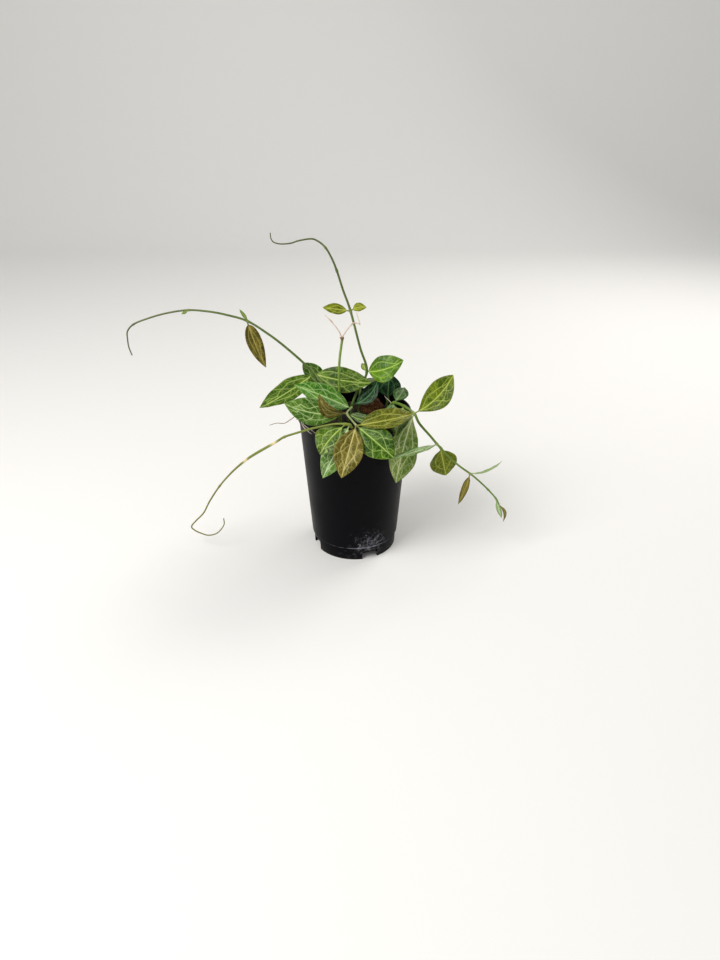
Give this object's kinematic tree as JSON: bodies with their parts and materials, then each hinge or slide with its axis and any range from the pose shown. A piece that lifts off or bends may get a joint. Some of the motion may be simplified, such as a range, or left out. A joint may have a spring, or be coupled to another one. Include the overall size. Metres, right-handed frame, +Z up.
{
  "type": "potted dischidia",
  "caption": "Trailing dischidia with pale-veined leaves and long bare vines, growing in a tall black plastic nursery pot.",
  "frame": {"origin": "centre of the whole object's box at table level; the pot's axis stands at x = 27.4 mm, y = -1.5 mm", "axes": "+Z up, +X along the plant's longest reach from the left vine's tip to the right vine's tip, +Y away from the viewer"},
  "size_m": [0.3324, 0.155, 0.2821],
  "materials": {
    "black_plastic": "satin black moulded plastic with a little dried mineral film",
    "mix": "dark damp bark and coir mix",
    "coir": "rough red-brown coir lump",
    "stem": "smooth green to olive stem",
    "thread": "dry pinkish thread",
    "green": "waxy bright green leaf with pale veins",
    "olive": "waxy olive leaf with pale veins",
    "bronze": "waxy bronze-olive young leaf with cream veins",
    "dark": "dark blue-green shaded leaf",
    "pale": "grey-green leaf with white veins"
  },
  "bodies": {
    "root": {"back_left_stem": "stem", "back_left_vine": "stem", "back_right_stem": "stem", "back_stem": "stem", "coir_lump": "coir", "dried_flower_left": "thread", "dried_flower_right": "thread", "flower_stalk": "stem", "front_stem": "stem", "leaf_back_1": "green", "leaf_back_2": "green", "leaf_back_3": "olive", "leaf_back_4": "green", "leaf_back_5": "green", "leaf_back_6": "bronze", "leaf_back_7": "green", "leaf_back_8": "olive", "leaf_back_9": "green", "leaf_behind_middle": "dark", "leaf_behind_right": "green", "leaf_behind_small": "dark", "leaf_far_left": "olive", "leaf_front_bronze": "bronze", "leaf_front_left": "green", "leaf_front_olive": "bronze", "leaf_front_right": "green", "leaf_front_under": "pale", "leaf_inner_dark": "dark", "leaf_inner_narrow": "dark", "leaf_left_folded": "dark", "leaf_left_vine_bud": "green", "leaf_left_vine_hanging": "bronze", "leaf_left_vine_sliver": "green", "leaf_lower_left": "green", "leaf_middle_green": "green", "leaf_right_hanging": "pale", "leaf_right_upright": "green", "leaf_round_back": "dark", "leaf_small_right": "dark", "leaf_tall_vine_left": "green", "leaf_tall_vine_right": "green", "leaf_top_middle": "olive", "leaf_top_right": "green", "leaf_upper_left": "green", "leaf_vine_bronze": "bronze", "leaf_vine_edge_on": "pale", "leaf_vine_round": "olive", "leaf_vine_thin": "pale", "leaf_vine_tip_inner": "pale", "leaf_vine_tip_outer": "bronze", "leaf_young_folded": "bronze", "low_left_vine": "stem", "pot": "black_plastic", "potting_mix": "mix", "right_vine": "stem", "tall_vine": "stem"}
  },
  "joints": []
}
